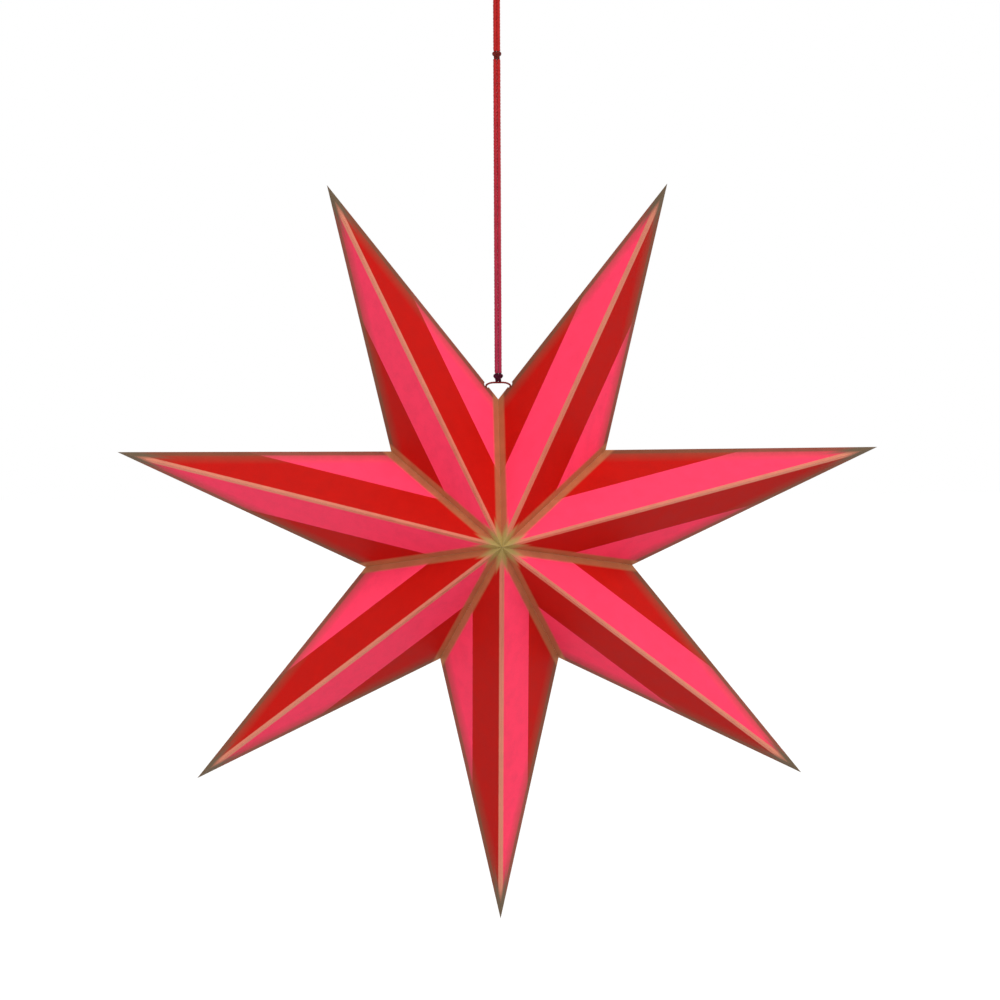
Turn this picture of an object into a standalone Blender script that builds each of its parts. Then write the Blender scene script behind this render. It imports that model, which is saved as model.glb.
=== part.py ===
"""Hanging paper star: seven folding arms of printed card on a doubled cotton cord.

Each arm is four flat panels that meet at a front point and a back point: two in front and two behind,
joined along a front ridge, a back ridge and two outline edges. Neighbouring arms are joined along
their valleys. The ring is closed at the top by a thin string through two punched holes, and hangs
there from a knot. With that string untied the star folds flat, so each crease is a hinge.

Metres, Z up, front towards -Y. The origin is the hang point, inside the top of the loop. Arms are
numbered clockwise from the tied seam, as seen from the front, and left and right are seen from there
too, looking out along the arm.
"""

from math import acos, cos, degrees, pi, radians, sin, sqrt

import bmesh
import bpy
from mathutils import Matrix, Vector
from mathutils.geometry import interpolate_bezier

# Star at rest
ARM_COUNT = 7
TIP_RADIUS = 0.3035
VALLEY_RADIUS = 0.1068
HALF_DEPTH = 0.0814
CARD = 0.0004

# Creases: the hinge lines stand a little off the two faces that fold together
CREASE_GAP = 0.0003
CREASE_LIFT = 0.00015
OPEN_EDGE_GAP = 0.0004
FOLDED_ARM_ANGLE = radians(1.06)

# Tied seam: from under the knot, each half of the string leads to its hole, goes square through the
# card and bows back to the seam below the inner corner
HOLE_FROM_CORNER = 0.0144
HOLE_DIAMETER = 0.0050
TIE_DIAMETER = 0.0015
TIE_FROM_KNOT_AXIS = 0.0012
TIE_BELOW_CORNER = 0.0024
TIE_END_GAP = 0.0008
TIE_LEAD = 0.0030
TIE_BOW_AT_HOLE = 0.0029
TIE_BOW_AT_SEAM = 0.0040
TIE_LEAD_POINTS = 5
TIE_BOW_POINTS = 10

# Cord, knots and loop
STRAND_DIAMETER = 0.0030
KNOT_WRAPS = 2
MAIN_KNOT_CORE = 0.0008
TOP_KNOT_CORE = 0.0006
TOP_KNOT_ABOVE_STAR = 0.3724
MAIN_KNOT_ABOVE_CORNER = 0.0170
CORD_POINT_SPACING = 0.0120
END_GAP = 0.0003

# Loop: the two sides run up its neck side by side, part along its shoulders and meet round its head
LOOP_NECK = 0.0500
LOOP_NECK_GAP = 0.0005
LOOP_SHOULDERS = 0.0286
LOOP_HEAD_RADIUS = 0.0062
NECK_POINT_SPACING = 0.0060
SHOULDER_POINTS = 7
HEAD_POINTS = 8

# How finely round shapes are cut
TURN_STEPS = 24
ARC_STEPS = 6
HOLE_STEPS = 32
CORD_BEVEL_STEPS = 2

# Working allowances: stock larger than any panel, a punch longer than the card is thick, and how
# close two points may be and still be taken as one
STOCK_SHARES = 3
PUNCH_OVERRUN = 0.0020
POINT_TOLERANCE = 0.0000001

# Finishes
CARD_COLOUR = (0.73, 0.035, 0.065, 1.0)
CARD_ROUGHNESS = 0.55
CORD_COLOUR = (0.28, 0.085, 0.085, 1.0)
KNOT_COLOUR = (0.15, 0.035, 0.050, 1.0)
COTTON_ROUGHNESS = 0.9

SIDES = ("left", "right")
FACES = ("front", "back")
HALF_ARM_ANGLE = pi / ARM_COUNT
MIDDLE = Vector((0, 0, 0))
SIDEWAYS = Vector((1, 0, 0))
DEPTH_WAY = Vector((0, 1, 0))
UP = Vector((0, 0, 1))

CORD_DIAMETER = 2 * STRAND_DIAMETER
KNOT_HEIGHT = KNOT_WRAPS * STRAND_DIAMETER
LOOP_NECK_SIDE = (STRAND_DIAMETER + LOOP_NECK_GAP) / 2
LOOP_HEAD_HEIGHT = STRAND_DIAMETER / 2 - LOOP_HEAD_RADIUS
LOOP_NECK_TOP = LOOP_HEAD_HEIGHT - LOOP_SHOULDERS
LOOP_BOTTOM = LOOP_NECK_TOP - LOOP_NECK
TOP_KNOT_HEIGHT_HERE = LOOP_BOTTOM - END_GAP - KNOT_HEIGHT / 2
STAR_MIDDLE = Vector((0, 0, TOP_KNOT_HEIGHT_HERE - TOP_KNOT_ABOVE_STAR))
MAIN_KNOT_HEIGHT_HERE = STAR_MIDDLE.z + VALLEY_RADIUS + MAIN_KNOT_ABOVE_CORNER
CORD_TOP = TOP_KNOT_HEIGHT_HERE - KNOT_HEIGHT / 2 - END_GAP
CORD_BOTTOM = MAIN_KNOT_HEIGHT_HERE + KNOT_HEIGHT / 2 + END_GAP


# Scene

def clear_scene():
    for thing in list(bpy.data.objects):
        bpy.data.objects.remove(thing, do_unlink=True)


def new_collection(name):
    group = bpy.data.collections.new(name)
    bpy.context.scene.collection.children.link(group)
    return group


def plain_material(name, colour, roughness):
    material = bpy.data.materials.new(name)
    material.use_nodes = True
    surface = material.node_tree.nodes["Principled BSDF"]
    surface.inputs["Base Color"].default_value = colour
    surface.inputs["Roughness"].default_value = roughness
    surface.inputs["Metallic"].default_value = 0
    material.diffuse_color = colour
    return material


class Assembly:
    """The placed pieces, each in its own frame, and the hinges between them."""

    def __init__(self):
        self.pieces = new_collection("hanging_paper_star")
        self.cutters = new_collection("cutters")
        self.frames = {}
        self.hinges = []

    def place(self, name, data, frame, parent=None, group=None):
        """Put a mesh or curve, drawn in its own frame, into the scene."""
        piece = bpy.data.objects.new(name, data)
        (group or self.pieces).objects.link(piece)
        base = Matrix.Identity(4)
        if parent:
            piece.parent = bpy.data.objects[parent]
            base = self.frames[parent]
        piece.matrix_basis = base.inverted() @ frame
        self.frames[name] = frame
        return piece


# The star's shape, open or partly folded

def ring_point(radius, angle):
    return Vector((radius * cos(angle), 0, radius * sin(angle)))


def tip_angle(arm):
    return pi / 2 - (2 * arm - 1) * HALF_ARM_ANGLE


class Panel:
    """One flat panel: its three corners at rest, and the way that its printed face looks."""

    def __init__(self, arm, face, side):
        turned = HALF_ARM_ANGLE if side == "left" else -HALF_ARM_ANGLE
        self.name = f"arm_{arm}_{face}_{side}"
        self.arm, self.face, self.side = arm, face, side
        self.point = DEPTH_WAY * (-HALF_DEPTH if face == "front" else HALF_DEPTH)
        self.tip = ring_point(TIP_RADIUS, tip_angle(arm))
        self.corner = ring_point(VALLEY_RADIUS, tip_angle(arm) + turned)
        self.middle = (self.point + self.tip + self.corner) / 3
        self.outward = facing((self.corner - self.point).cross(self.tip - self.point), self.middle)

    def away(self, normal):
        """The same plane's normal, turned to look away from this panel."""
        return facing(normal, -self.middle)


def facing(normal, way):
    return normal.normalized() * (1 if normal.dot(way) > 0 else -1)


def crease_angles(half_arm_angle):
    """Half the angle between the panels at a ridge, an outline edge and a valley, at one stage.

    The panels stay rigid, so the star keeps its three panel edges while an arm narrows.
    """
    edge_squared = (TIP_RADIUS ** 2 + VALLEY_RADIUS ** 2
                    - 2 * TIP_RADIUS * VALLEY_RADIUS * cos(HALF_ARM_ANGLE))
    radii = TIP_RADIUS ** 2 - VALLEY_RADIUS ** 2
    root = sqrt(edge_squared ** 2 - (radii * sin(half_arm_angle)) ** 2)
    difference = sqrt((edge_squared + root) / (1 + cos(half_arm_angle)))
    tip_radius = (radii / difference + difference) / 2
    corner_radius = tip_radius - difference
    half_depth = sqrt(TIP_RADIUS ** 2 + HALF_DEPTH ** 2 - tip_radius ** 2)
    point = -DEPTH_WAY * half_depth
    tip = ring_point(tip_radius, 0)
    corner = ring_point(corner_radius, half_arm_angle)
    outward = facing((corner - point).cross(tip - point), point)
    valley = Vector((-sin(half_arm_angle), 0, cos(half_arm_angle)))
    return [acos(abs(outward.dot(plane))) for plane in (UP, DEPTH_WAY, valley)]


# Panels

def trim(stock, through, away):
    """Cut the card along a plane, keep what lies behind it and close the cut."""
    shape = stock.verts[:] + stock.edges[:] + stock.faces[:]
    cut = bmesh.ops.bisect_plane(stock, geom=shape, dist=POINT_TOLERANCE, plane_co=through,
                                 plane_no=away, clear_outer=True)
    rim = [piece for piece in cut["geom_cut"] if isinstance(piece, bmesh.types.BMEdge)]
    bmesh.ops.holes_fill(stock, edges=rim)


def cut_panel(panel, frame):
    """A panel's mesh in its own frame: flat card, mitred along its three edges."""
    along = (panel.tip - panel.point).normalized()
    across = panel.outward.cross(along)
    turned = Matrix((along, across, panel.outward)).transposed().to_4x4()
    sheet = Matrix.Translation(panel.middle - panel.outward * CARD / 2) @ turned
    width = STOCK_SHARES * TIP_RADIUS
    stock = bmesh.new()
    bmesh.ops.create_cube(stock, size=1, matrix=sheet @ Matrix.Diagonal((width, width, CARD, 1)))

    for rim_point in (panel.tip, panel.corner):
        away = panel.away(DEPTH_WAY.cross(rim_point))
        trim(stock, -away * CREASE_GAP / 2, away)
    away = panel.away(DEPTH_WAY)
    near_tip = panel.tip - away * CREASE_GAP / 2
    if (panel.face, panel.side) == ("back", "right"):
        edge = panel.corner - panel.tip
        away = panel.away(away * edge.length + edge.normalized() * OPEN_EDGE_GAP)
    trim(stock, near_tip, away)

    bmesh.ops.recalc_face_normals(stock, faces=stock.faces[:])
    stock.transform(frame.inverted() @ Matrix.Translation(STAR_MIDDLE))
    mesh = bpy.data.meshes.new(panel.name)
    stock.to_mesh(mesh)
    stock.free()
    return mesh


def hinge_line(kind, parent, child):
    """A crease's hinge: a point on it and its direction, so that a positive turn folds the star."""
    ends = {"ridge": (parent.point, parent.tip), "edge": (parent.corner, parent.tip),
            "valley": (parent.point, parent.corner)}[kind]
    lift = -(CARD + CREASE_LIFT) if kind == "ridge" else CREASE_LIFT
    bisector = (parent.outward + child.outward).normalized()
    through = (ends[0] + ends[1]) / 2 + bisector * (lift / parent.outward.dot(bisector))
    along = (ends[1] - ends[0]).normalized()
    closing = -child.outward if kind == "ridge" else child.outward
    if along.cross(child.middle - through).dot(closing) < 0:
        along = -along
    return through + STAR_MIDDLE, along


def hinge_frame(through, along):
    """A frame on a hinge, with X along it."""
    side = along.cross(UP if abs(along.dot(UP)) < abs(along.dot(DEPTH_WAY)) else DEPTH_WAY).normalized()
    turned = Matrix((along, side, along.cross(side))).transposed().to_4x4()
    return Matrix.Translation(through) @ turned


def creases():
    """Every hinged crease, as (name, kind, parent, child), from the first arm round to the last.

    Neighbouring arms are hinged at the front of one valley and at the back of the next. The right
    outline edge of each arm is the one left open.
    """
    for arm in range(1, ARM_COUNT + 1):
        entry = "back" if arm % 2 and arm > 1 else "front"
        other = "front" if entry == "back" else "back"
        if arm > 1:
            yield (f"valley_{arm - 1}_{arm}_{entry}", "valley", (arm - 1, entry, "right"),
                   (arm, entry, "left"))
        yield f"arm_{arm}_left_edge", "edge", (arm, entry, "left"), (arm, other, "left")
        for face in FACES:
            yield f"arm_{arm}_{face}_ridge", "ridge", (arm, face, "left"), (arm, face, "right")


def make_star(assembly, hanger):
    """All the panels, each on the panel that its crease hinges it to."""
    panels = {(arm, face, side): Panel(arm, face, side)
              for arm in range(1, ARM_COUNT + 1) for face in FACES for side in SIDES}
    first = panels[1, "front", "left"]
    frame = Matrix.Translation(Vector((0, 0, MAIN_KNOT_HEIGHT_HERE)))
    assembly.place(first.name, cut_panel(first, frame), frame, hanger)
    for name, kind, held_by, held in creases():
        parent, child = panels[held_by], panels[held]
        through, along = hinge_line(kind, parent, child)
        frame = hinge_frame(through, along)
        assembly.place(child.name, cut_panel(child, frame), frame, parent.name)
        assembly.hinges.append((name, kind, parent.name, child.name, through, along))
    for panel in panels.values():
        finish = plain_material(f"{panel.name}_card", CARD_COLOUR, CARD_ROUGHNESS)
        bpy.data.objects[panel.name].data.materials.append(finish)
    return panels


def punch_hole(assembly, panel):
    """Half of a round hole, punched square through the card on an outline edge by the seam."""
    along = (panel.tip - panel.corner).normalized()
    centre = panel.corner + along * HOLE_FROM_CORNER + STAR_MIDDLE
    round_way = panel.outward.to_track_quat("Z", "Y").to_matrix().to_4x4()
    frame = Matrix.Translation(centre) @ round_way
    tool = bmesh.new()
    bmesh.ops.create_cone(tool, cap_ends=True, segments=HOLE_STEPS, radius1=HOLE_DIAMETER / 2,
                          radius2=HOLE_DIAMETER / 2, depth=2 * (CARD + PUNCH_OVERRUN))
    mesh = bpy.data.meshes.new(f"{panel.name}_punch")
    tool.to_mesh(mesh)
    tool.free()
    punch = assembly.place(f"{panel.name}_punch", mesh, frame, panel.name, assembly.cutters)
    punch.hide_render = True
    punch.display_type = "WIRE"
    cut = bpy.data.objects[panel.name].modifiers.new("hole", "BOOLEAN")
    cut.operation = "DIFFERENCE"
    cut.solver = "EXACT"
    cut.object = punch


# Cord and knots

def cord_piece(assembly, name, route, diameter, colour, parent=None):
    """A length of round cord with flat ends, along a route in world coordinates."""
    start = Vector(route[0])
    curve = bpy.data.curves.new(name, "CURVE")
    curve.dimensions = "3D"
    curve.bevel_depth = diameter / 2
    curve.bevel_resolution = CORD_BEVEL_STEPS
    curve.use_fill_caps = True
    line = curve.splines.new("POLY")
    line.points.add(len(route) - 1)
    for point, place in zip(line.points, route):
        point.co = (*(Vector(place) - start), 1)
    curve.materials.append(plain_material(f"{name}_cotton", colour, COTTON_ROUGHNESS))
    return assembly.place(name, curve, Matrix.Translation(start), parent)


def straight_route(bottom, top, spacing, side=0):
    count = round((top - bottom) / spacing)
    return [(side, 0, bottom + (top - bottom) * step / count) for step in range(count + 1)]


def loop_route():
    """The loop's line, up its right side, round its head and down its left side to the knot."""
    right = straight_route(LOOP_BOTTOM, LOOP_NECK_TOP, NECK_POINT_SPACING, LOOP_NECK_SIDE)
    for step in range(1, SHOULDER_POINTS + 1):
        share = step / SHOULDER_POINTS
        parted = (1 - cos(pi * share)) / 2
        side = LOOP_NECK_SIDE + (LOOP_HEAD_RADIUS - LOOP_NECK_SIDE) * parted
        right.append((side, 0, LOOP_NECK_TOP + LOOP_SHOULDERS * share))
    head = []
    for step in range(1, HEAD_POINTS):
        angle = pi * step / HEAD_POINTS
        head.append((LOOP_HEAD_RADIUS * cos(angle), 0, LOOP_HEAD_HEIGHT + LOOP_HEAD_RADIUS * sin(angle)))
    left = [(-side, depth, up) for side, depth, up in reversed(right)]
    return right + head + left


def tie_route():
    """The right half of the string, from under the main knot to the seam below the inner corner."""
    corner = STAR_MIDDLE + ring_point(VALLEY_RADIUS, pi / 2)
    along = (STAR_MIDDLE + ring_point(TIP_RADIUS, tip_angle(1)) - corner).normalized()
    into_arm = Vector((along.z, 0, -along.x))
    hole = corner + along * HOLE_FROM_CORNER
    drop = KNOT_HEIGHT / 2 + END_GAP + TIE_DIAMETER / 2
    start = Vector((TIE_FROM_KNOT_AXIS, 0, MAIN_KNOT_HEIGHT_HERE - drop))
    end = corner + Vector((TIE_END_GAP / 2, 0, -TIE_BELOW_CORNER))
    lead = interpolate_bezier(start, start + SIDEWAYS * TIE_LEAD, hole - into_arm * TIE_LEAD, hole,
                              TIE_LEAD_POINTS)
    bow = interpolate_bezier(hole, hole + into_arm * TIE_BOW_AT_HOLE,
                             end + SIDEWAYS * TIE_BOW_AT_SEAM, end, TIE_BOW_POINTS)
    return lead + bow[1:]


def wrapped_knot(assembly, name, height, core, parent=None):
    """A knot of strand wound round the cord, turned as a barrel with one round rib for each wrap."""
    strand = STRAND_DIAMETER / 2
    profile = [(0, -KNOT_HEIGHT / 2)]
    for wrap in range(KNOT_WRAPS):
        middle = -KNOT_HEIGHT / 2 + (wrap + 1 / 2) * STRAND_DIAMETER
        start = 1 if wrap else 0
        for step in range(start, ARC_STEPS + 1):
            angle = pi * (step / ARC_STEPS - 1 / 2)
            profile.append((core + strand + strand * cos(angle), middle + strand * sin(angle)))
    profile.append((0, KNOT_HEIGHT / 2))
    shape = bmesh.new()
    corners = [shape.verts.new((across, 0, up)) for across, up in profile]
    outline = [shape.edges.new(pair) for pair in zip(corners, corners[1:])]
    bmesh.ops.spin(shape, geom=corners + outline, cent=MIDDLE, axis=UP, angle=2 * pi,
                   steps=TURN_STEPS, use_merge=True)
    bmesh.ops.remove_doubles(shape, verts=shape.verts[:], dist=POINT_TOLERANCE)
    bmesh.ops.recalc_face_normals(shape, faces=shape.faces[:])
    for face in shape.faces:
        face.smooth = True
    mesh = bpy.data.meshes.new(name)
    shape.to_mesh(mesh)
    shape.free()
    mesh.materials.append(plain_material(f"{name}_cotton", KNOT_COLOUR, COTTON_ROUGHNESS))
    return assembly.place(name, mesh, Matrix.Translation(Vector((0, 0, height))), parent)


def make_hanger(assembly):
    """The loop that goes over a hook, the knot under it and the cord down to the star."""
    cord_piece(assembly, "hanging_cord", straight_route(CORD_BOTTOM, CORD_TOP, CORD_POINT_SPACING),
               CORD_DIAMETER, CORD_COLOUR)
    wrapped_knot(assembly, "top_knot", TOP_KNOT_HEIGHT_HERE, TOP_KNOT_CORE, "hanging_cord")
    cord_piece(assembly, "hanging_loop", loop_route(), STRAND_DIAMETER, CORD_COLOUR, "hanging_cord")


def make_seam(assembly, panels):
    """The knot, the two holes by the seam and the two halves of the string through them."""
    wrapped_knot(assembly, "main_knot", MAIN_KNOT_HEIGHT_HERE, MAIN_KNOT_CORE,
                 panels[1, "front", "left"].name)
    for arm, side, way in ((1, "left", 1), (ARM_COUNT, "right", -1)):
        for face in FACES:
            punch_hole(assembly, panels[arm, face, side])
        route = [(way * point.x, 0, point.z) for point in tie_route()]
        cord_piece(assembly, f"tie_string_{'right' if way > 0 else 'left'}", route, TIE_DIAMETER,
                   KNOT_COLOUR, panels[arm, "front", side].name)


# Report

def print_routes():
    """The knots' heights and where the hanging cord ends."""
    print(f"cord from {CORD_BOTTOM:.6f} to {CORD_TOP:.6f}")
    print(f"knots at {MAIN_KNOT_HEIGHT_HERE:.6f} and {TOP_KNOT_HEIGHT_HERE:.6f}")
    for name, route in (("loop", loop_route()), ("half of the tie string", tie_route())):
        length = sum((Vector(b) - Vector(a)).length for a, b in zip(route, route[1:]))
        print(f"{name} {length:.4f} long")


def print_hinges(assembly):
    """Each hinge with its turn, from the open star to the folded one."""
    open_star = crease_angles(HALF_ARM_ANGLE)
    folded = crease_angles(FOLDED_ARM_ANGLE)
    turns = {kind: 2 * abs(after - before)
             for kind, before, after in zip(("ridge", "edge", "valley"), open_star, folded)}
    print("star middle", *(f"{value:.6f}" for value in STAR_MIDDLE))
    for name, kind, parent, child, through, along in assembly.hinges:
        place = " ".join(f"{value:.9f}" for value in (*through, *along))
        print("hinge", name, parent, child, place, f"{degrees(turns[kind]):.6f}")


def main():
    clear_scene()
    assembly = Assembly()
    make_hanger(assembly)
    panels = make_star(assembly, "hanging_cord")
    make_seam(assembly, panels)
    print_routes()
    print_hinges(assembly)


main()
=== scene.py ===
# %% [markdown]
# # A hanging paper star
#
# This lesson dresses a finished CAD model of a folding paper star: seven arms of printed card, held by
# a thin string and hung from a doubled cotton cord. The CAD model gives every size and every joint, so
# the lesson starts by loading it as a fixed frame. Each piece made here rides on one of its bodies.

from math import cos, pi, radians, sin

import bmesh
import bpy
import numpy
from mathutils import Matrix, Vector
from mathutils.geometry import interpolate_bezier


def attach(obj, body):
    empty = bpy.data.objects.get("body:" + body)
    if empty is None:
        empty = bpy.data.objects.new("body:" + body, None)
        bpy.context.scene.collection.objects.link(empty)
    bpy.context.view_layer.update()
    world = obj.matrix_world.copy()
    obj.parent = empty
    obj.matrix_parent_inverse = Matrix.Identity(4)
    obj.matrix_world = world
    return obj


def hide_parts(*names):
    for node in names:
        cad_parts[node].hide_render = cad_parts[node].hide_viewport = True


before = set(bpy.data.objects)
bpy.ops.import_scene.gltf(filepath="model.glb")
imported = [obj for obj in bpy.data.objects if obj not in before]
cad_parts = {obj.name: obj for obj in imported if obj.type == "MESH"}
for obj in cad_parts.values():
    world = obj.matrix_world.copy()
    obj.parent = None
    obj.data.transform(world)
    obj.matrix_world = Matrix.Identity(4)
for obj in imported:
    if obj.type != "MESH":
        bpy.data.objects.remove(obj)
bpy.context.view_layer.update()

# %% [markdown]
# ## The star's own sizes
#
# The star is drawn from three numbers: how far its tips and its inner corners are from the middle, and
# how far its front point stands out. They are the same numbers as in the CAD model, so that a piece
# made here lies exactly where the solid lies.

# %% Sizes and directions
ARM_COUNT = 7
TIP_RADIUS = 0.3035
VALLEY_RADIUS = 0.1068
HALF_DEPTH = 0.0814
CARD_THICKNESS = 0.0004
STAR_MIDDLE = Vector((0, 0, -0.4590))

HALF_ARM_ANGLE = pi / ARM_COUNT
SIDEWAYS = Vector((1, 0, 0))
DEPTH_WAY = Vector((0, 1, 0))
UP = Vector((0, 0, 1))


def ring_point(radius, angle):
    """A point on a circle round the star's middle, seen from the front."""
    return Vector((radius * cos(angle), 0, radius * sin(angle)))


def tip_angle(arm):
    return pi / 2 - (2 * arm - 1) * HALF_ARM_ANGLE


print("tips on a circle of", 2 * TIP_RADIUS, "m")

# %% [markdown]
# ## The view
#
# The camera comes first, because the cords are judged by what it sees. A long lens from three metres
# away keeps the arms free of perspective. It stands a little above the star and looks slightly down on
# it. The turn is built from three directions at right angles: where it looks, its right and its up.

# %% Camera
VIEW_SIDE = radians(1.7)
VIEW_ABOVE = radians(5.67)
VIEW_ROLL = radians(-0.25)
VIEW_DISTANCE = 3.0
VIEW_TARGET = Vector((0.001, 0, -0.4310))
LENS = 138.6

looking = Vector((sin(VIEW_SIDE) * cos(VIEW_ABOVE), cos(VIEW_SIDE) * cos(VIEW_ABOVE), -sin(VIEW_ABOVE)))
level_right = Vector((cos(VIEW_SIDE), -sin(VIEW_SIDE), 0))
level_up = level_right.cross(looking)
view_right = cos(VIEW_ROLL) * level_right + sin(VIEW_ROLL) * level_up
view_up = cos(VIEW_ROLL) * level_up - sin(VIEW_ROLL) * level_right

lens = bpy.data.cameras.new("camera")
lens.lens = LENS
camera = bpy.data.objects.new("camera", lens)
bpy.context.scene.collection.objects.link(camera)
view_turn = Matrix((view_right, view_up, -looking)).transposed().to_4x4()
camera.matrix_world = Matrix.Translation(VIEW_TARGET - looking * VIEW_DISTANCE) @ view_turn
bpy.context.scene.camera = camera
print("camera at", *(f"{value:.3f}" for value in camera.location))

# %% [markdown]
# ## How cord is laid
#
# The star hangs from two strands of cotton that lie side by side. Each strand is laid from three yarns
# that wind round each other. So one helper carries a frame along a route and winds a new route round
# it. Real geometry was chosen over a bump texture, because the lay of a cord shows in its outline.

# %% Routes
CURVE_POINTS = 13
NEARLY_ALONG = 0.9


def even_route(points, spacing):
    """Points at even steps on a smooth curve through the given ones."""
    points = [Vector(point) for point in points]
    padded = [2 * points[0] - points[1], *points, 2 * points[-1] - points[-2]]
    fine = [points[0]]
    for before, start, end, after in zip(padded, padded[1:], padded[2:], padded[3:]):
        leaving = start + (end - before) / 6
        arriving = end - (after - start) / 6
        fine += interpolate_bezier(start, leaving, arriving, end, CURVE_POINTS)[1:]
    fine = numpy.array(fine)
    steps = numpy.linalg.norm(numpy.diff(fine, axis=0), axis=1)
    travelled = numpy.concatenate(([0], numpy.cumsum(steps)))
    stops = numpy.linspace(0, travelled[-1], max(2, round(travelled[-1] / spacing)) + 1)
    columns = [numpy.interp(stops, travelled, fine[:, axis]) for axis in range(3)]
    return [Vector(point) for point in zip(*columns)]


def route_length(route):
    return sum((after - before).length for before, after in zip(route, route[1:]))


def wind(route, radius, pitch, phase):
    """A route that winds round another one, with its frame carried along without turning."""
    ahead = [(b - a).normalized() for a, b in zip(route, route[1:])]
    ways = [ahead[0], *((a + b).normalized() for a, b in zip(ahead, ahead[1:])), ahead[-1]]
    side = DEPTH_WAY if abs(ways[0].dot(DEPTH_WAY)) < NEARLY_ALONG else SIDEWAYS
    wound, travelled = [], 0
    for step, (point, way) in enumerate(zip(route, ways)):
        side = (side - way * side.dot(way)).normalized()
        travelled += (point - route[step - 1]).length if step else 0
        angle = phase + 2 * pi * travelled / pitch
        wound.append(point + radius * (cos(angle) * side + sin(angle) * way.cross(side)))
    return wound


test_turn = wind(even_route([(0, 0, 0), (0, 0, 1)], 0.01), 0.1, 1, 0)
print("one turn of 0.1 round a line of 1 is", f"{route_length(test_turn):.3f}", "long")

# %% [markdown]
# A yarn is a thin tube. A curve object with a round bevel sweeps it along a route, and turning that
# curve into a mesh gives the tube a map that runs round and along it, which the cotton material needs
# for its fibres. The map is scaled to millimetres, so that fibres have one size on every piece.

# %% Yarn tubes
YARN_ROUNDNESS = 2
MILLIMETRE = 0.001


def yarn_piece(name, routes, diameter, finish):
    """One mesh of round yarns, one along each route."""
    line = bpy.data.curves.new(name, "CURVE")
    line.dimensions = "3D"
    line.bevel_depth = diameter / 2
    line.bevel_resolution = YARN_ROUNDNESS
    line.use_fill_caps = True
    for route in routes:
        yarn = line.splines.new("POLY")
        yarn.points.add(len(route) - 1)
        for point, place in zip(yarn.points, route):
            point.co = (*place, 1)
        yarn.use_smooth = True
    spool = bpy.data.objects.new(name + "_line", line)
    bpy.context.scene.collection.objects.link(spool)
    bpy.context.view_layer.update()
    mesh = bpy.data.meshes.new_from_object(spool.evaluated_get(bpy.context.evaluated_depsgraph_get()))
    bpy.data.objects.remove(spool)
    bpy.data.curves.remove(line)
    mesh.name = name
    mesh.materials.clear()
    mesh.materials.append(finish)
    yarn_length = route_length(routes[0]) / MILLIMETRE
    yarn_girth = pi * diameter / MILLIMETRE
    for corner in mesh.uv_layers[0].data:
        corner.uv = (corner.uv.x * yarn_length, corner.uv.y * yarn_girth)
    piece = bpy.data.objects.new(name, mesh)
    bpy.context.scene.collection.objects.link(piece)
    print(name, len(mesh.polygons), "faces,", f"{yarn_length:.0f} mm of yarn, {yarn_girth:.1f} mm round")
    return piece


print("yarns at roundness", YARN_ROUNDNESS)

# %% [markdown]
# ## Node wiring
#
# Every finish below is built from shader nodes. A small helper adds a node, sets its values and joins
# its inputs, so that a recipe reads from top to bottom like a list of steps.

# %% A helper for node trees
NOISE_LOW = 0.3
NOISE_HIGH = 0.7


class Wiring:
    """Adds nodes to one tree and joins them."""

    def __init__(self, tree):
        self.tree = tree

    def add(self, kind, settings=None, **inputs):
        """A node with its settings, and its inputs by name, or by place as in _0 for the first."""
        node = self.tree.nodes.new(kind)
        for key, value in (settings or {}).items():
            setattr(node, key, value)
        for key, value in inputs.items():
            self.join(node.inputs[int(key[1:]) if key[1:].isdigit() else key.replace("_", " ")], value)
        return node

    def join(self, socket, value):
        """Link another node's output to a socket, or set the socket's own number or colour."""
        if isinstance(value, bpy.types.NodeSocket):
            self.tree.links.new(value, socket)
        else:
            socket.default_value = value

    def math(self, operation, first, second):
        return self.add("ShaderNodeMath", {"operation": operation}, _0=first, _1=second).outputs[0]

    def mix(self, share, first, second):
        """A colour between two others."""
        return self.add("ShaderNodeMix", {"data_type": "RGBA"}, _0=share, _6=first, _7=second).outputs[2]

    def lighten(self, colour, times):
        return self.add("ShaderNodeHueSaturation", None, Color=colour, Value=times).outputs[0]

    def ramp(self, value, low, high, to_low=0.0, to_high=1.0):
        """A value carried from one range to another, and kept inside it."""
        return self.add("ShaderNodeMapRange", None, Value=value, From_Min=low, From_Max=high,
                        To_Min=to_low, To_Max=to_high).outputs[0]

    def noise(self, place, scale, detail=2.0, roughness=0.5):
        return self.add("ShaderNodeTexNoise", None, Vector=place, Scale=scale, Detail=detail,
                        Roughness=roughness).outputs["Fac"]

    def spread(self, noise, to_low, to_high):
        """A noise carried to a range. Noise crowds round its middle, so its rare ends are cut off."""
        return self.ramp(noise, NOISE_LOW, NOISE_HIGH, to_low, to_high)

    def bump(self, height, distance, strength=1.0, normal=None):
        node = self.add("ShaderNodeBump", None, Height=height, Distance=distance, Strength=strength)
        if normal is not None:
            self.join(node.inputs["Normal"], normal)
        return node.outputs[0]

    def seen(self):
        """1 for what the camera sees straight, mirrored or through glass, and 0 for light on a surface."""
        rays = self.add("ShaderNodeLightPath").outputs
        indirect = self.math("MAXIMUM", rays["Is Glossy Ray"], rays["Is Transmission Ray"])
        return self.math("MAXIMUM", rays["Is Camera Ray"], indirect)


class Finish(Wiring):
    """One procedural material, built up node by node."""

    def __init__(self, name):
        self.material = bpy.data.materials.new(name)
        self.material.use_nodes = True
        super().__init__(self.material.node_tree)
        self.surface = self.tree.nodes["Principled BSDF"]

    def paint(self, **inputs):
        """Join values to the surface shader's own sockets."""
        for key, value in inputs.items():
            self.join(self.surface.inputs[key.replace("_", " ")], value)
        return self.material


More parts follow.
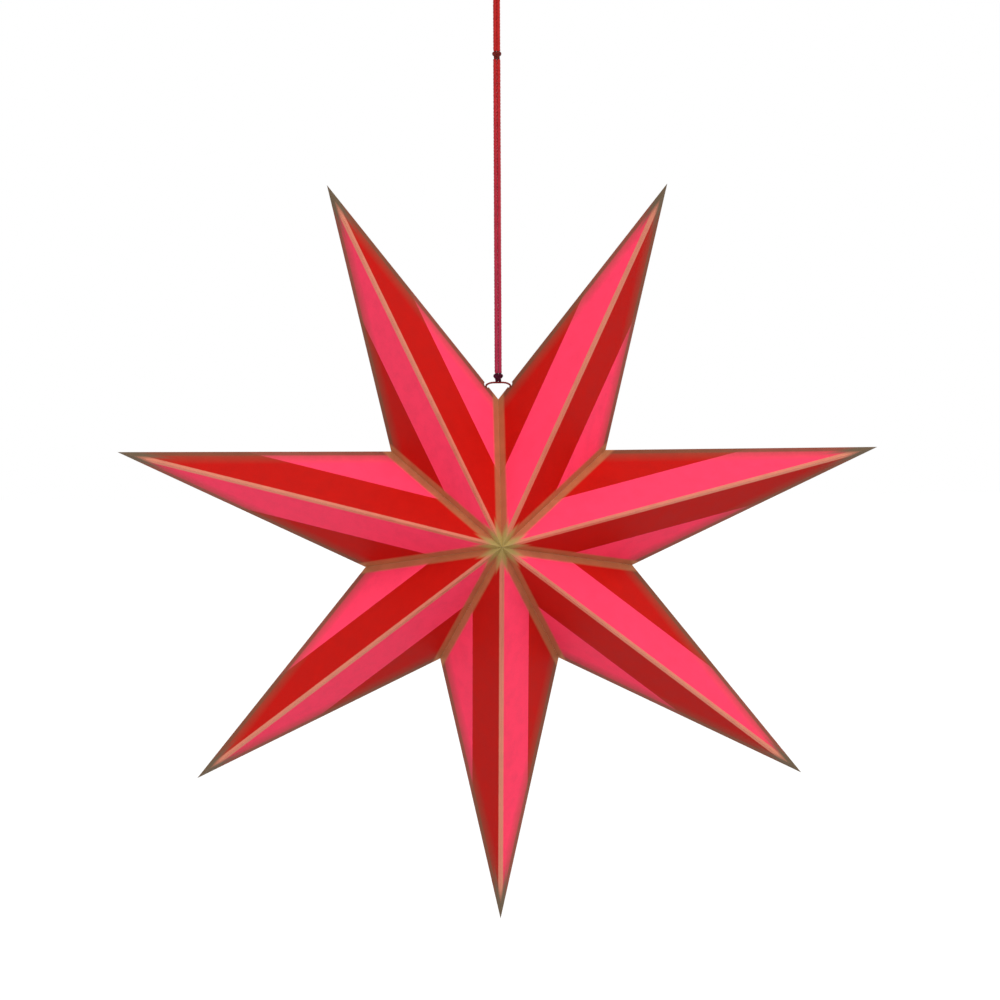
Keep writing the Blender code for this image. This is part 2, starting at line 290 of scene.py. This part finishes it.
print("noise is used from", NOISE_LOW, "to", NOISE_HIGH)

# %% [markdown]
# ## Cotton
#
# The cord is dyed cotton, red at the top and turning to a purplish red near the star, and the thin
# string is a darker dye. The knots are tied from the cord, and their much darker colours are painted
# shade in the knots. Cotton is matt and has a faint pale sheen at its edges from loose fibres. The
# fibres are stripes that run aslant along the yarn's own map, so they wind round it. Each noise below
# has a scale, a detail and, where it is not the usual one, a roughness.

# %% Cotton finish
COTTON_ROUGHNESS = 0.85
COTTON_SPECULAR = 0.1
COTTON_SHEEN = 0.04
SHEEN_ROUGHNESS = 0.5
FIBRE_SLANT = 0.35
FIBRE_SIZE = (2.4, 0.16, 1)
FIBRE_NOISE = (1.0, 3.0)
FIBRE_TONES = (0.64, 1.20)
FIBRE_HEIGHT = 0.00016
BLOTCH_NOISE = (260, 3.0)
BLOTCH_TONES = (-0.1, 0.1)


def cotton(name, upper, lower, top, bottom):
    """Cotton yarn that goes from one colour to another between two heights: dye on the cord and the string,
    and dye darkened by painted shade on the knots.
    """
    finish = Finish(name)
    place = finish.add("ShaderNodeTexCoord").outputs["Object"]
    height = finish.add("ShaderNodeSeparateXYZ", None, Vector=place).outputs["Z"]
    dye = finish.mix(finish.ramp(height, bottom, top), lower, upper)
    thread = finish.add("ShaderNodeMapping", {"vector_type": "TEXTURE"}, Rotation=(0, 0, FIBRE_SLANT),
                        Vector=finish.add("ShaderNodeUVMap").outputs[0], Scale=FIBRE_SIZE).outputs[0]
    fibre = finish.noise(thread, *FIBRE_NOISE)
    blotch = finish.noise(place, *BLOTCH_NOISE)
    tone = finish.math("ADD", finish.spread(fibre, *FIBRE_TONES), finish.spread(blotch, *BLOTCH_TONES))
    return finish.paint(Base_Color=finish.lighten(dye, tone), Normal=finish.bump(fibre, FIBRE_HEIGHT),
                        Roughness=COTTON_ROUGHNESS, Specular_IOR_Level=COTTON_SPECULAR,
                        Sheen_Weight=COTTON_SHEEN, Sheen_Roughness=SHEEN_ROUGHNESS)


CORD_TOP = -0.0899
CORD_BOTTOM = -0.3319
CORD_UPPER_COLOUR = (0.50, 0.020, 0.018, 1)
CORD_LOWER_COLOUR = (0.42, 0.032, 0.080, 1)
# The two knot colours are the cord's dye darkened by painted shade.
TOP_KNOT_SHADED_COLOUR = (0.16, 0.014, 0.010, 1)
STAR_KNOT_SHADED_COLOUR = (0.06, 0.004, 0.018, 1)
STRING_COLOUR = (0.20, 0.010, 0.008, 1)

cord_cotton = cotton("cord_cotton", CORD_UPPER_COLOUR, CORD_LOWER_COLOUR, CORD_TOP, CORD_BOTTOM)
shaded_knot_cotton = cotton("shaded_knot_cotton", TOP_KNOT_SHADED_COLOUR, STAR_KNOT_SHADED_COLOUR, CORD_TOP, CORD_BOTTOM)
string_cotton = cotton("string_cotton", STRING_COLOUR, STRING_COLOUR, CORD_TOP, CORD_BOTTOM)
print("cotton for the cord, the knots and the string")

# %% [markdown]
# ## The hanging cord
#
# It runs straight up from the knot on the star to the small knot under the loop, 0.242 m, because the
# star's weight pulls it tight. Its two strands lie side by side all the way, a little closer than they
# are thick, so that the bulges of one rest in the hollows of the other and no light shows between them.

# %% Hanging cord
STRAND_DIAMETER = 0.0030
STRAND_SIDE = 0.00138
CORD_POINT_SPACING = 0.0120
YARN_PHASES = (0, 2 * pi / 3, 4 * pi / 3)
YARN_SHARE = 0.62
YARN_PITCH = 0.0075
YARN_POINT_SPACING = 0.0008


def strand_yarns(route, diameter, pitch):
    """The three yarns of one strand, which together are as thick as the strand."""
    yarn = diameter * YARN_SHARE
    return [wind(route, (diameter - yarn) / 2, pitch, phase) for phase in YARN_PHASES]


def straight_route(bottom, top, spacing, side=0):
    count = round((top - bottom) / spacing)
    return [Vector((side, 0, bottom + (top - bottom) * step / count)) for step in range(count + 1)]


cord_route = straight_route(CORD_BOTTOM, CORD_TOP, CORD_POINT_SPACING)
cord_yarns = []
for way in (-1, 1):
    strand = [point + SIDEWAYS * way * STRAND_SIDE for point in even_route(cord_route, YARN_POINT_SPACING)]
    cord_yarns += strand_yarns(strand, STRAND_DIAMETER, YARN_PITCH)
hanging_cord = yarn_piece("twisted_cord", cord_yarns, STRAND_DIAMETER * YARN_SHARE, cord_cotton)
print("cord", f"{route_length(cord_route):.4f}", "m")

# %% [markdown]
# ## The loop
#
# Above the small knot the two strands go on side by side, out of the picture, and part there into a
# loop for a hook. The route goes up the right side of the neck, out along the shoulder, round the head
# and down the left side.

# %% Loop
LOOP_BOTTOM = -0.0833
LOOP_NECK_TOP = -0.0333
LOOP_NECK_SIDE = 0.0013
LOOP_SHOULDERS = 0.0286
LOOP_HEAD_RADIUS = 0.0062
LOOP_HEAD_HEIGHT = STRAND_DIAMETER / 2 - LOOP_HEAD_RADIUS
NECK_POINT_SPACING = 0.0060
SHOULDER_POINTS = 7
HEAD_POINTS = 8


def loop_line():
    right = straight_route(LOOP_BOTTOM, LOOP_NECK_TOP, NECK_POINT_SPACING, LOOP_NECK_SIDE)
    for step in range(1, SHOULDER_POINTS + 1):
        rise_share = step / SHOULDER_POINTS
        parted_share = (1 - cos(pi * rise_share)) / 2
        side = LOOP_NECK_SIDE + (LOOP_HEAD_RADIUS - LOOP_NECK_SIDE) * parted_share
        right.append(Vector((side, 0, LOOP_NECK_TOP + LOOP_SHOULDERS * rise_share)))
    head = []
    for step in range(1, HEAD_POINTS):
        head.append(ring_point(LOOP_HEAD_RADIUS, pi * step / HEAD_POINTS) + UP * LOOP_HEAD_HEIGHT)
    left = [Vector((-point.x, 0, point.z)) for point in reversed(right)]
    return right + head + left


loop_route = loop_line()
loop_yarns = strand_yarns(even_route(loop_route, YARN_POINT_SPACING), STRAND_DIAMETER, YARN_PITCH)
hanging_loop = yarn_piece("cord_loop", loop_yarns, STRAND_DIAMETER * YARN_SHARE, cord_cotton)
print("loop", f"{route_length(loop_route):.4f}", "m of strand")

# %% [markdown]
# ## The knots
#
# A knot is a strand tied through itself and pulled tight. The curve of a trefoil is just that: three
# lobes that pass over and under each other. It is squeezed to the knot's width and height, and the ends
# of the two strands it holds show above and below it. The trefoil's own formula reaches 2.736 to each
# side, and 2.53 up and down once it is lifted by 0.47, so the squeeze divides by those.

# %% Knots
KNOT_HEIGHT = 2 * STRAND_DIAMETER
KNOT_STRAND = 0.0025
KNOT_DEPTH = 0.0012
KNOT_STEPS = 36
KNOT_POINT_SPACING = YARN_POINT_SPACING / 2
KNOT_PITCH = YARN_PITCH / 2
HELD_SIDE = 0.0012
HELD_REACH = KNOT_HEIGHT / 2 + 0.00025
LOBES_WIDE = 2.736
LOBES_HIGH = 2.53
LOBES_LIFT = 0.47


def knot_line(height, half_width):
    """A trefoil in the plane of the star, with its crossings one strand apart in depth."""
    across = (half_width - KNOT_STRAND / 2) / LOBES_WIDE
    upward = (KNOT_HEIGHT / 2 - KNOT_STRAND / 2) / LOBES_HIGH
    line = []
    for step in range(KNOT_STEPS + 1):
        turn = 2 * pi * step / KNOT_STEPS
        side = across * (sin(turn) + 2 * sin(2 * turn))
        rise = upward * (cos(turn) - 2 * cos(2 * turn) + LOBES_LIFT)
        line.append(Vector((side, KNOT_DEPTH * sin(3 * turn), height + rise)))
    return line


def knot_piece(name, height, half_width):
    tied = even_route(knot_line(height, half_width), KNOT_POINT_SPACING)
    yarns = strand_yarns(tied, KNOT_STRAND, KNOT_PITCH)
    for way in (-1, 1):
        held = straight_route(height - HELD_REACH, height + HELD_REACH, YARN_POINT_SPACING, way * HELD_SIDE)
        yarns += strand_yarns(held, KNOT_STRAND, YARN_PITCH)
    return yarn_piece(name, yarns, KNOT_STRAND * YARN_SHARE, shaded_knot_cotton)


MAIN_KNOT_HEIGHT = -0.3352
MAIN_KNOT_HALF_WIDTH = 0.00393
TOP_KNOT_HEIGHT = -0.0866
TOP_KNOT_HALF_WIDTH = 0.00372
main_knot = knot_piece("star_knot", MAIN_KNOT_HEIGHT, MAIN_KNOT_HALF_WIDTH)
top_knot = knot_piece("loop_knot", TOP_KNOT_HEIGHT, TOP_KNOT_HALF_WIDTH)

# %% [markdown]
# ## The thin string
#
# From under the knot, each half of a thin string leads to a punched hole in the outline edge of an end
# arm, goes through it and bows back inside the arm to the seam, where the halves meet. Two smooth
# curves follow that way, and the left half is the right one seen in a mirror.

# %% Tie string
TIE_DIAMETER = 0.0015
TIE_PITCH = 0.0045
TIE_POINT_SPACING = 0.0004
TIE_PARTING = 0.0001
TIE_END_GAP = 0.0008
TIE_BELOW_CORNER = 0.0024
TIE_LEAD = 0.0030
TIE_BOW_AT_HOLE = 0.0029
TIE_BOW_AT_SEAM = 0.0040
TIE_LEAD_POINTS = 5
TIE_BOW_POINTS = 10
END_GAP = 0.0003
HOLE_FROM_CORNER = 0.0144
HOLE_DIAMETER = 0.0050


def tie_line(way):
    corner = STAR_MIDDLE + ring_point(VALLEY_RADIUS, pi / 2)
    along = (STAR_MIDDLE + ring_point(TIP_RADIUS, tip_angle(1)) - corner).normalized()
    into_arm = Vector((along.z, 0, -along.x))
    hole = corner + along * HOLE_FROM_CORNER
    start = Vector((TIE_PARTING, 0, MAIN_KNOT_HEIGHT - KNOT_HEIGHT / 2 - END_GAP - TIE_DIAMETER / 2))
    end = corner + Vector((TIE_END_GAP / 2, 0, -TIE_BELOW_CORNER))
    lead = interpolate_bezier(start, start + SIDEWAYS * TIE_LEAD, hole - into_arm * TIE_LEAD, hole,
                              TIE_LEAD_POINTS)
    bow = interpolate_bezier(hole, hole + into_arm * TIE_BOW_AT_HOLE, end + SIDEWAYS * TIE_BOW_AT_SEAM,
                             end, TIE_BOW_POINTS)
    return [Vector((way * point.x, 0, point.z)) for point in lead + bow[1:]]


tie_strings = {}
for side, way in (("right", 1), ("left", -1)):
    yarns = strand_yarns(even_route(tie_line(way), TIE_POINT_SPACING), TIE_DIAMETER, TIE_PITCH)
    tie_strings[side] = yarn_piece(f"thin_string_{side}", yarns, TIE_DIAMETER * YARN_SHARE, string_cotton)
    print("half of the string", f"{route_length(tie_line(way)):.4f}", "m")

# %% [markdown]
# Each cotton piece takes the place of its CAD solid and rides on the body that carries it.

# %% Cords take their places
for piece, node, body, slot in (
        (hanging_cord, "hanging_cord", "hanger", "cotton_cord"),
        (hanging_loop, "hanging_loop", "hanger", "cotton_cord"),
        (top_knot, "top_knot", "hanger", "knotted_cotton"),
        (main_knot, "main_knot", "arm_1_front_left", "knotted_cotton"),
        (tie_strings["right"], "tie_string_right", "arm_1_front_left", "tie_cotton"),
        (tie_strings["left"], "tie_string_left", "arm_7_front_right", "tie_cotton")):
    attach(piece, body)
    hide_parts(node)


# %% [markdown]
# ## Printed card
#
# Each panel is printed with two broad bands that run along its ridge, one red and one pink, and the
# order changes from the left panel of an arm to the right one. The pattern follows the creases, so each
# panel carries its three distances from them as an attribute, in metres, and the material compares
# those with the width of a band or a line. A printed line never has a perfect edge, so a little noise
# moves it by up to two tenths of a millimetre.
#
# Gold lines cover the ridge, the valley and the outline edge. The ridge's line is a light copper. The
# valley's tan and the outline's brown are the gold ink darkened by painted shade, and beside the
# outline a soft brown tint is painted shade along the folded edge. Where a ridge meets the valley, at
# the star's centre, the gold is paler, and where it meets the outline, at a tip, it is duller.

# %% Colours and lines of the print, with painted shade
CREASES = ("ridge", "valley", "outline")
RED = (0.49, 0.004, 0.001, 1)
PINK = (0.99, 0.048, 0.122, 1)
COPPER = (0.66, 0.22, 0.14, 1)
SHADED_VALLEY_TAN = (0.46, 0.180, 0.078, 1)
SHADED_EDGE_BROWN = (0.19, 0.074, 0.038, 1)
PALE_GOLD = (0.42, 0.31, 0.11, 1)
DULL_GOLD = (0.15, 0.10, 0.060, 1)
BAND_WIDTH = 0.0332
BAND_SOFTNESS = 0.0002
EDGE_WOBBLE = 0.00018
# A soft brown band inside the outline edge: painted shade along the folded edge.
EDGE_SHADE_START = 0.0040
EDGE_SHADE_END = 0.0140
EDGE_SHADE_SHARE = 0.55

# The valley's tan and the outline's brown are gold ink darkened by painted shade; the ridge's copper is
# lighter.
# crease, width, softness, the share that shows where the line is full, and colour
GOLD_LINES = (
    ("outline", 0.0042, 0.0008, 0.8, SHADED_EDGE_BROWN),
    ("valley", 0.0052, 0.0010, 0.9, SHADED_VALLEY_TAN),
    ("ridge", 0.0028, 0.0004, 1.0, COPPER))
# the crease that the ridge meets there, size and colour
GOLD_CORNERS = (
    ("valley", 0.0075, PALE_GOLD),
    ("outline", 0.0082, DULL_GOLD))
print("bands of", BAND_WIDTH * 1000, "mm and", len(GOLD_LINES), "gold lines")

# %% [markdown]
# The ink sits on card with a fine grain. A broad faint wave in the bump stands for card that is never
# quite flat, and a mottle makes the ink a little uneven. The gold ink is glossier and partly metallic.

# %% Printed card finish
WOBBLE_NOISE = (350, 2.0)
MOTTLE_NOISE = (90, 5.0, 0.65)
MOTTLE_TONES = (0.93, 1.05)
GRAIN_NOISE = (1400, 3.0, 0.6)
GRAIN_TONES = (-0.03, 0.03)
GRAIN_HEIGHT = 0.00006
GRAIN_STRENGTH = 0.5
WAVE_NOISE = (14, 1.0)
WAVE_HEIGHT = 0.0012
WAVE_STRENGTH = 0.35
PRINT_ROUGHNESS = (0.50, 0.60)
PRINT_SPECULAR = 0.1
GOLD_GLOSS = 0.12
GOLD_METAL_SHARE = 0.6


def printed_card(name, near_ridge, near_edges):
    """Card printed with two bands and gold lines along its creases, with painted shade in the valley and
    along the outline edge.
    """
    finish = Finish(name)
    place = finish.add("ShaderNodeTexCoord").outputs["Object"]
    creases = finish.add("ShaderNodeAttribute", {"attribute_name": "from_creases"}).outputs["Vector"]
    wobble = finish.ramp(finish.noise(place, *WOBBLE_NOISE), 0, 1, -EDGE_WOBBLE, EDGE_WOBBLE)
    distances = finish.add("ShaderNodeSeparateXYZ", None, Vector=creases).outputs
    away = {crease: finish.math("ADD", distance, wobble) for crease, distance in zip(CREASES, distances)}

    outer = finish.ramp(away["ridge"], BAND_WIDTH - BAND_SOFTNESS, BAND_WIDTH + BAND_SOFTNESS)
    # Painted shade: a soft brown that fades in towards the outline edge.
    edge_shade = finish.ramp(away["outline"], EDGE_SHADE_START, EDGE_SHADE_END, EDGE_SHADE_SHARE, 0)
    colour = finish.mix(edge_shade, finish.mix(outer, near_ridge, near_edges), SHADED_EDGE_BROWN)
    gold = 0.0
    # The valley and outline lines are darkened by painted shade through their tones.
    for crease, width, softness, full_share, tone in GOLD_LINES:
        line = finish.ramp(away[crease], width - softness, width + softness, full_share, 0)
        colour = finish.mix(line, colour, tone)
        gold = finish.math("MAXIMUM", gold, line)
    for crease, size, tone in GOLD_CORNERS:
        corner = finish.ramp(finish.math("MAXIMUM", away["ridge"], away[crease]), size / 2, size, 1, 0)
        colour = finish.mix(corner, colour, tone)
        gold = finish.math("MAXIMUM", gold, corner)

    mottle = finish.noise(place, *MOTTLE_NOISE)
    grain = finish.noise(place, *GRAIN_NOISE)
    tone = finish.math("ADD", finish.spread(mottle, *MOTTLE_TONES), finish.spread(grain, *GRAIN_TONES))
    gloss = finish.math("MULTIPLY", gold, GOLD_GLOSS)
    rough = finish.math("SUBTRACT", finish.spread(mottle, *PRINT_ROUGHNESS), gloss)
    wave = finish.bump(finish.noise(place, *WAVE_NOISE), WAVE_HEIGHT, WAVE_STRENGTH)
    surface = finish.bump(grain, GRAIN_HEIGHT, GRAIN_STRENGTH, wave)
    return finish.paint(Base_Color=finish.lighten(colour, tone), Roughness=rough, Normal=surface,
                        Metallic=finish.math("MULTIPLY", gold, GOLD_METAL_SHARE),
                        Specular_IOR_Level=PRINT_SPECULAR)


PRINTS = {"left": printed_card("card_pink_by_ridge", PINK, RED),
          "right": printed_card("card_red_by_ridge", RED, PINK)}
print("prints for", *PRINTS)

# %% [markdown]
# Inside an arm and on a cut edge the card is bare: pale, matt and a little cloudy, with short fibres.

# %% Bare card finish
BARE_DARK = (0.72, 0.70, 0.65, 1)
BARE_LIGHT = (0.80, 0.79, 0.75, 1)
PULP_NOISE = (900, 4.0, 0.65)
PULP_HEIGHT = 0.00008
PULP_STRENGTH = 0.6
CLOUD_NOISE = (60, 3.0)
BARE_ROUGHNESS = (0.8, 0.95)
BARE_SPECULAR = 0.2


def bare_card(name):
    finish = Finish(name)
    place = finish.add("ShaderNodeTexCoord").outputs["Object"]
    pulp = finish.noise(place, *PULP_NOISE)
    cloud = finish.noise(place, *CLOUD_NOISE)
    return finish.paint(Base_Color=finish.mix(cloud, BARE_DARK, BARE_LIGHT),
                        Roughness=finish.spread(pulp, *BARE_ROUGHNESS),
                        Normal=finish.bump(pulp, PULP_HEIGHT, PULP_STRENGTH),
                        Specular_IOR_Level=BARE_SPECULAR)


INSIDE_CARD = bare_card("card_inside")
print("bare card", INSIDE_CARD.name)

# %% [markdown]
# ## Folded card panels
#
# A panel is a flat triangle between the front or back point, an arm's tip and an inner corner. It is cut
# out of a large flat stock by planes: one through each crease, half way between the two panels that meet
# there. Cut this way the edges are mitred, and neighbours meet along the whole crease with only a hair
# between them, which they need to fold.

# %% Cut one panel
CREASE_HAIR = 0.00004
POINT_TOLERANCE = 0.0000001
STOCK_SIZE = 1


def facing(normal, way):
    return normal.normalized() * (1 if normal.dot(way) > 0 else -1)


def trim(stock, through, away):
    """Cut the card along a plane, keep what lies behind it and close the cut."""
    shape = stock.verts[:] + stock.edges[:] + stock.faces[:]
    cut = bmesh.ops.bisect_plane(stock, geom=shape, dist=POINT_TOLERANCE, plane_co=through,
                                 plane_no=away, clear_outer=True)
    rim = [piece for piece in cut["geom_cut"] if isinstance(piece, bmesh.types.BMEdge)]
    bmesh.ops.holes_fill(stock, edges=rim)


class Panel:
    """One panel's three corners about the star's middle, and the way its printed face looks."""

    def __init__(self, arm, face, side):
        turned = HALF_ARM_ANGLE if side == "left" else -HALF_ARM_ANGLE
        self.name = f"arm_{arm}_{face}_{side}"
        self.point = DEPTH_WAY * (-HALF_DEPTH if face == "front" else HALF_DEPTH)
        self.tip = ring_point(TIP_RADIUS, tip_angle(arm))
        self.corner = ring_point(VALLEY_RADIUS, tip_angle(arm) + turned)
        self.middle = (self.point + self.tip + self.corner) / 3
        self.outward = facing((self.corner - self.point).cross(self.tip - self.point), self.middle)

    def away(self, normal):
        return facing(normal, -self.middle)

    def cut(self):
        """The panel's mesh, about the star's middle."""
        along = (self.tip - self.point).normalized()
        across = self.outward.cross(along)
        turned = Matrix((along, across, self.outward)).transposed().to_4x4()
        sheet = Matrix.Translation(self.middle - self.outward * CARD_THICKNESS / 2) @ turned
        flat = Matrix.Diagonal((STOCK_SIZE, STOCK_SIZE, CARD_THICKNESS, 1))
        stock = bmesh.new()
        bmesh.ops.create_cube(stock, size=1, matrix=sheet @ flat)
        for rim_point in (self.tip, self.corner):
            away = self.away(DEPTH_WAY.cross(rim_point))
            trim(stock, -away * CREASE_HAIR / 2, away)
        away = self.away(DEPTH_WAY)
        trim(stock, self.tip - away * CREASE_HAIR / 2, away)
        bmesh.ops.recalc_face_normals(stock, faces=stock.faces[:])
        return stock


test_stock = Panel(1, "front", "left").cut()
panel_area = max(polygon.calc_area() for polygon in test_stock.faces)
print("one panel has", len(test_stock.faces), "faces and", f"{panel_area:.4f}", "m2")
test_stock.free()

# %% [markdown]
# The four panels next to the tied seam have half a round hole each, punched square through the card on
# the outline edge. A bmesh has no operator that subtracts a solid, so a cylinder is taken away by a
# Boolean modifier and the result is kept.

# %% Punch a hole
PUNCHED = {(1, "left"), (ARM_COUNT, "right")}
PUNCH_SIDES = 64
PUNCH_LENGTH = 12 * CARD_THICKNESS


def punch(piece, panel):
    along = (panel.tip - panel.corner).normalized()
    centre = panel.corner + along * HOLE_FROM_CORNER + STAR_MIDDLE
    place = Matrix.Translation(centre) @ panel.outward.to_track_quat("Z", "Y").to_matrix().to_4x4()
    tool = bmesh.new()
    bmesh.ops.create_cone(tool, cap_ends=True, segments=PUNCH_SIDES, radius1=HOLE_DIAMETER / 2,
                          radius2=HOLE_DIAMETER / 2, depth=PUNCH_LENGTH, matrix=place)
    mesh = bpy.data.meshes.new("punch")
    tool.to_mesh(mesh)
    tool.free()
    punch_tool = bpy.data.objects.new("punch", mesh)
    bpy.context.scene.collection.objects.link(punch_tool)
    cut = piece.modifiers.new("hole", "BOOLEAN")
    cut.operation, cut.solver, cut.object = "DIFFERENCE", "EXACT", punch_tool
    bpy.context.view_layer.update()
    punched = bpy.data.meshes.new_from_object(piece.evaluated_get(bpy.context.evaluated_depsgraph_get()))
    piece.modifiers.remove(cut)
    piece.data = punched
    bpy.data.objects.remove(punch_tool)


print("holes on arms", sorted(arm for arm, side in PUNCHED))

# %% [markdown]
# Each vertex then gets its three distances, from the ridge, the valley and the outline edge. Distance
# from a straight line is the same sum for every point of a flat panel, so the values stay exact between
# the vertices. The printed material goes on the outer face only.

# %% Make the panels
SAME_WAY = 0.9


def distance_from(point, start, end):
    return (point - start).cross((end - start).normalized()).length


def card_piece(arm, face, side):
    panel = Panel(arm, face, side)
    stock = panel.cut()
    stock.transform(Matrix.Translation(STAR_MIDDLE))
    mesh = bpy.data.meshes.new(panel.name + "_card")
    stock.to_mesh(mesh)
    stock.free()
    piece = bpy.data.objects.new(panel.name + "_card", mesh)
    bpy.context.scene.collection.objects.link(piece)
    if (arm, side) in PUNCHED:
        punch(piece, panel)
    mesh = piece.data
    mesh.name = piece.name
    mesh.materials.clear()
    mesh.materials.append(PRINTS[side])
    mesh.materials.append(INSIDE_CARD)
    ends = {"ridge": (panel.point, panel.tip), "valley": (panel.point, panel.corner),
            "outline": (panel.corner, panel.tip)}
    creases = mesh.attributes.new("from_creases", "FLOAT_VECTOR", "POINT")
    for vertex, value in zip(mesh.vertices, creases.data):
        spot = vertex.co - STAR_MIDDLE
        value.vector = [distance_from(spot, *ends[crease]) for crease in CREASES]
    for polygon in mesh.polygons:
        polygon.material_index = 0 if polygon.normal.dot(panel.outward) > SAME_WAY else 1
    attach(piece, panel.name)
    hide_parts(panel.name)
    return piece


cards = [card_piece(arm, face, side) for arm in range(1, ARM_COUNT + 1)
         for face in ("front", "back") for side in ("left", "right")]
print(len(cards), "panels,", sum(len(card.data.polygons) for card in cards), "faces")

# %% [markdown]
# ## Light
#
# The light is soft and comes mostly from above and a little from the right, so the arms' upper panels
# are lighter than their lower ones. A wide sun gives that, and a weak lamp low on the left stands for
# light that a wall throws back.

# %% Lamps
SUN_FROM = Vector((0.23, -0.65, 0.65))
SUN_STRENGTH = 2.05
SUN_WIDTH = radians(40)
LOW_LIGHT_PLACE = Vector((-1.6, -1.0, -0.9))
LOW_LIGHT_POWER = 3.6
LOW_LIGHT_SIZE = 0.5


def add_lamp(name, kind, place, back):
    """A lamp that shines away from the direction that its back has."""
    light = bpy.data.lights.new(name, kind)
    lamp = bpy.data.objects.new(name, light)
    bpy.context.scene.collection.objects.link(lamp)
    lamp.matrix_world = Matrix.Translation(place) @ back.to_track_quat("Z", "Y").to_matrix().to_4x4()
    return light


sun = add_lamp("soft_light", "SUN", SUN_FROM, SUN_FROM)
sun.energy = SUN_STRENGTH
sun.angle = SUN_WIDTH
low_light = add_lamp("low_light", "AREA", LOW_LIGHT_PLACE, LOW_LIGHT_PLACE - STAR_MIDDLE)
low_light.energy = LOW_LIGHT_POWER
low_light.size = LOW_LIGHT_SIZE
print("sun from", *(f"{value:.2f}" for value in SUN_FROM.normalized()))

# %% [markdown]
# The pale world fills in the rest. It is white only for what the camera sees, or sees mirrored, and
# dimmer for the light it casts, so the background is white and the star isn't overlit.

# %% Pale world
WHITE = (1, 1, 1, 1)
WORLD_STRENGTH = 0.56

world = bpy.data.worlds.new("pale_room")
bpy.context.scene.world = world
world.use_nodes = True
sky = Wiring(world.node_tree)
backdrop = world.node_tree.nodes["Background"]
sky.join(backdrop.inputs["Color"], WHITE)
sky.join(backdrop.inputs["Strength"], sky.ramp(sky.seen(), 0, 1, WORLD_STRENGTH, 1))
print("world at", WORLD_STRENGTH)

# %% [markdown]
# ## Floor
#
# The floor lies 2.4 m below the hook, as in a room. It is a pale matt surface that still takes the
# star's shadow, and a little light of its own, for the camera only, lifts it to the background's white.

# %% Floor
FLOOR_HEIGHT = -2.4000
FLOOR_SIZE = 40
FLOOR_COLOUR = (0.70, 0.70, 0.70, 1)
FLOOR_GLOW = 0.36

plate = bmesh.new()
bmesh.ops.create_grid(plate, x_segments=1, y_segments=1, size=FLOOR_SIZE / 2,
                      matrix=Matrix.Translation((0, 0, FLOOR_HEIGHT)))
floor_mesh = bpy.data.meshes.new("floor")
plate.to_mesh(floor_mesh)
plate.free()
floor = bpy.data.objects.new("floor", floor_mesh)
bpy.context.scene.collection.objects.link(floor)
floor_paint = Finish("floor_paint")
glow = floor_paint.math("MULTIPLY", floor_paint.seen(), FLOOR_GLOW)
floor_mesh.materials.append(floor_paint.paint(Base_Color=FLOOR_COLOUR, Roughness=1.0, Specular_IOR_Level=0.0,
                                              Emission_Color=WHITE, Emission_Strength=glow))
print("floor", FLOOR_SIZE, "m wide")

# %% [markdown]
# ## Colour
#
# The plain view transform shows a colour as it is written.

# %% Finish
bpy.context.scene.view_settings.view_transform = "Standard"
